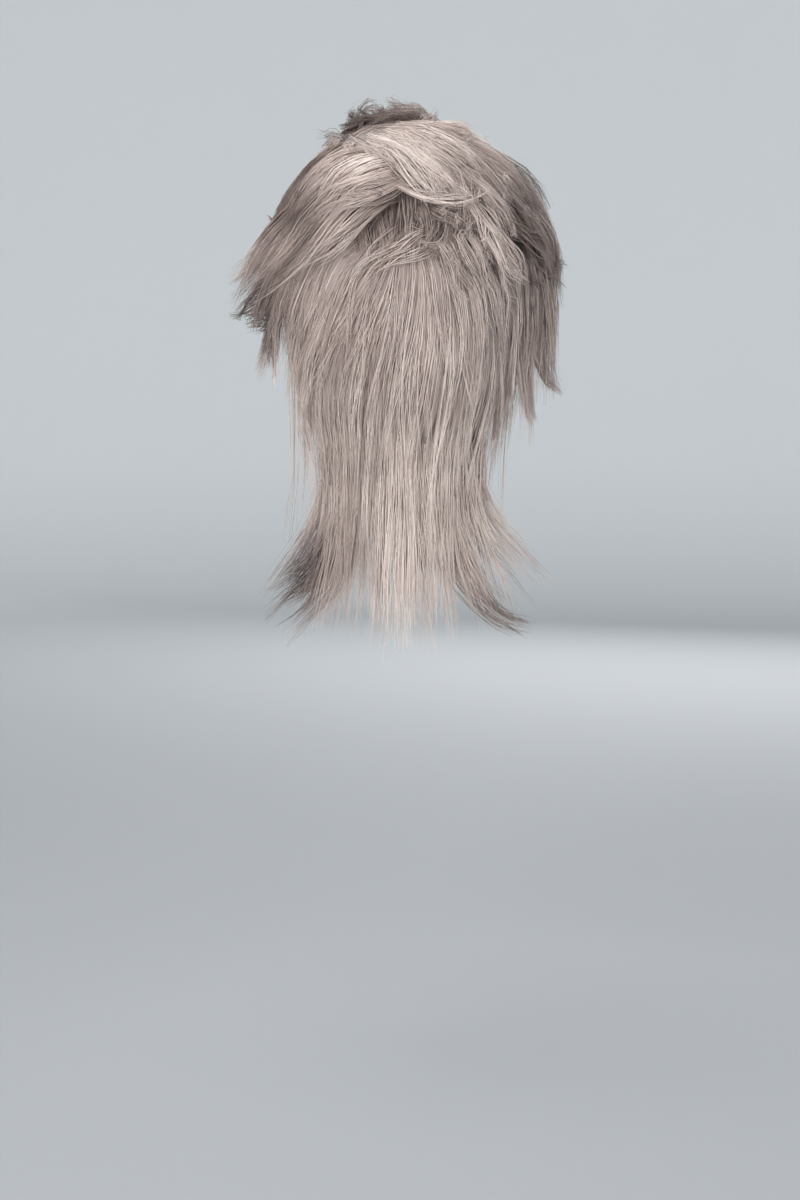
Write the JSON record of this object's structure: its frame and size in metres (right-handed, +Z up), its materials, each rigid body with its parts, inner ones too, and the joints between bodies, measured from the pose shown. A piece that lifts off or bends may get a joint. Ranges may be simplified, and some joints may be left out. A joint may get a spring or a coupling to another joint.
{
  "type": "mullet wig",
  "caption": "Layered mullet wig: a sewn cap with tousled crown hair, flicked sides, a fringe and a long straight tail down the nape.",
  "frame": {"origin": "inside of the cap at the crown, where it sits on the top of the head", "axes": "+Z up, the face looks along -Y, the wearer's left is +X"},
  "size_m": [0.2618, 0.2567, 0.4188],
  "materials": {
    "cap_net": "matt elastic net with sewn bands",
    "hair_light": "silver mauve-blond synthetic hair with a soft sheen",
    "hair_shade": "darker silver-taupe synthetic hair with a soft sheen"
  },
  "bodies": {
    "root": {"wig_cap": "cap_net", "nape_tail": "hair_shade", "back_layer": "hair_light", "side_left": "hair_light", "side_right": "hair_shade", "fringe": "hair_light", "crown_front": "hair_shade", "crown_right": "hair_light", "crown_left": "hair_light"}
  },
  "joints": []
}
